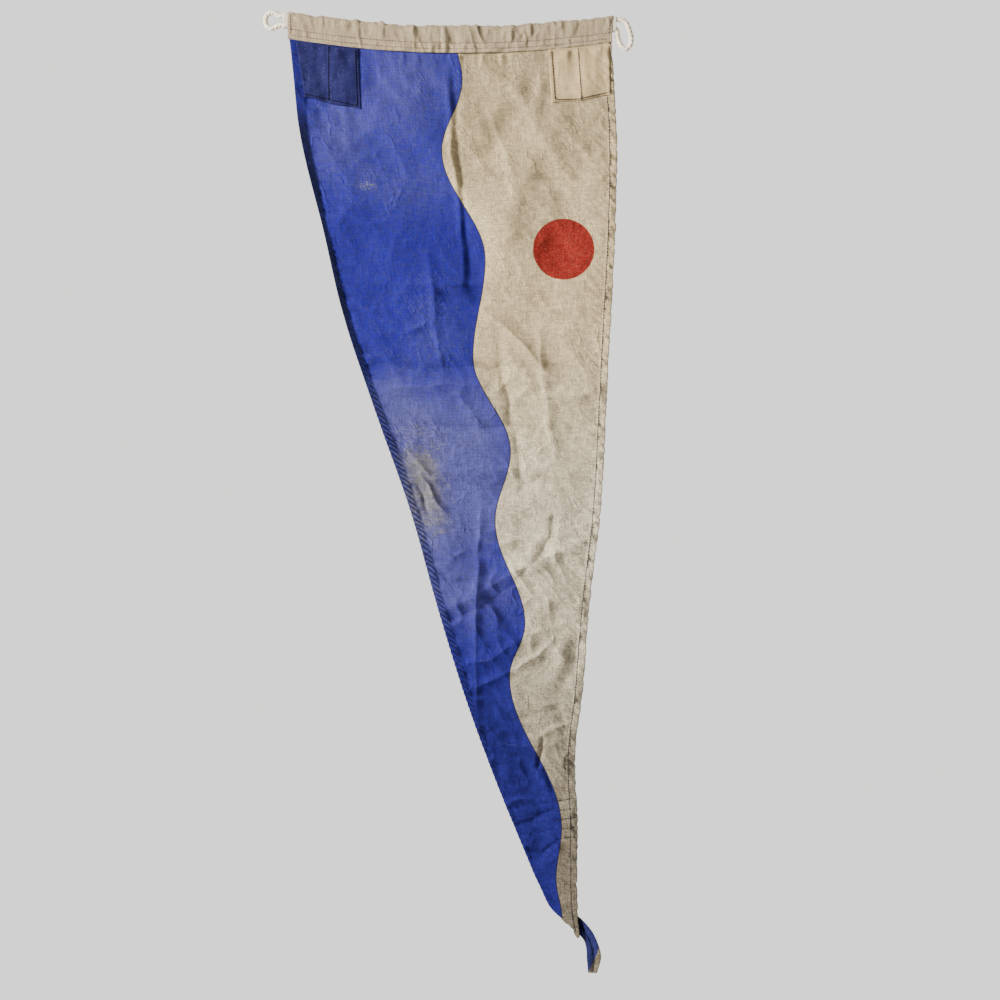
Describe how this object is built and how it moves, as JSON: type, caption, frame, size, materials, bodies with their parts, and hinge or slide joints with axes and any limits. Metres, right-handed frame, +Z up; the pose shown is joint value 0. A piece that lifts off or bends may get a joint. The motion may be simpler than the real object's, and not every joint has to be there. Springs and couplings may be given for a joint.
{
  "type": "triangular pennant",
  "caption": "Long triangular cotton pennant with a canvas heading sleeve, rope loops at the hoist, sewn corner patches and a twisted squared tail.",
  "frame": {"origin": "middle of the heading sleeve's flat back face", "axes": "+X across the hoist towards the cream side, +Y out of the back, +Z up along the hanging cloth"},
  "size_m": [0.4137, 0.0091, 1.0687],
  "materials": {
    "canvas": "coarse natural canvas, puckered",
    "rope": "laid cotton rope, off-white",
    "thread": "dark sewing thread",
    "printed_cotton": "plain weave cotton, printed blue and cream with a plain red disc, faded",
    "blue_patch": "dark blue cotton",
    "cream_patch": "cream cotton"
  },
  "bodies": {
    "heading": {"heading_sleeve": "canvas", "hoist_rope": "rope", "left_loop_seizing": "thread", "right_loop_seizing": "thread", "heading_seam_thread_1": "thread", "heading_seam_thread_2": "thread"},
    "left_loop": {"left_loop": "rope"},
    "right_loop": {"right_loop": "rope"},
    "upper_cloth": {"fly_upper": "printed_cotton", "left_corner_patch": "blue_patch", "right_corner_patch": "cream_patch"},
    "middle_cloth": {"fly_middle": "printed_cotton"},
    "lower_cloth": {"fly_lower": "printed_cotton"},
    "end_cloth": {"fly_end": "printed_cotton", "tip_stitching_1": "thread", "tip_stitching_2": "thread", "tip_stitching_3": "thread", "tip_stitching_4": "thread", "tip_stitching_5": "thread"},
    "tail": {"fly_tail": "printed_cotton"}
  },
  "joints": [
    {"name": "heading_swing", "type": "hinge", "parent": "heading", "child": "upper_cloth", "pos_m": [0, -0.004, -0.0146], "axis": [1, 0, 0], "range_deg": [-90, 90]},
    {"name": "upper_fold", "type": "hinge", "parent": "upper_cloth", "child": "middle_cloth", "pos_m": [0, -0.004, -0.27181], "axis": [1, 0, 0], "range_deg": [-60, 60]},
    {"name": "middle_fold", "type": "hinge", "parent": "middle_cloth", "child": "lower_cloth", "pos_m": [0, -0.004, -0.543], "axis": [1, 0, 0], "range_deg": [-60, 60]},
    {"name": "lower_fold", "type": "hinge", "parent": "lower_cloth", "child": "end_cloth", "pos_m": [0, -0.004, -0.79863], "axis": [1, 0, 0], "range_deg": [-60, 60]},
    {"name": "tail_twist", "type": "hinge", "parent": "end_cloth", "child": "tail", "pos_m": [0.14124, -0.004, -0.9884], "axis": [0, 0, 1], "range_deg": [-175, 90]},
    {"name": "left_loop_swing", "type": "hinge", "parent": "heading", "child": "left_loop", "pos_m": [-0.18685, -0.004, 0.0209], "axis": [0, 0, 1], "range_deg": [-90, 90]},
    {"name": "right_loop_swing", "type": "hinge", "parent": "heading", "child": "right_loop", "pos_m": [0.18685, -0.004, 0.0169], "axis": [0, 0, 1], "range_deg": [-90, 90]}
  ]
}
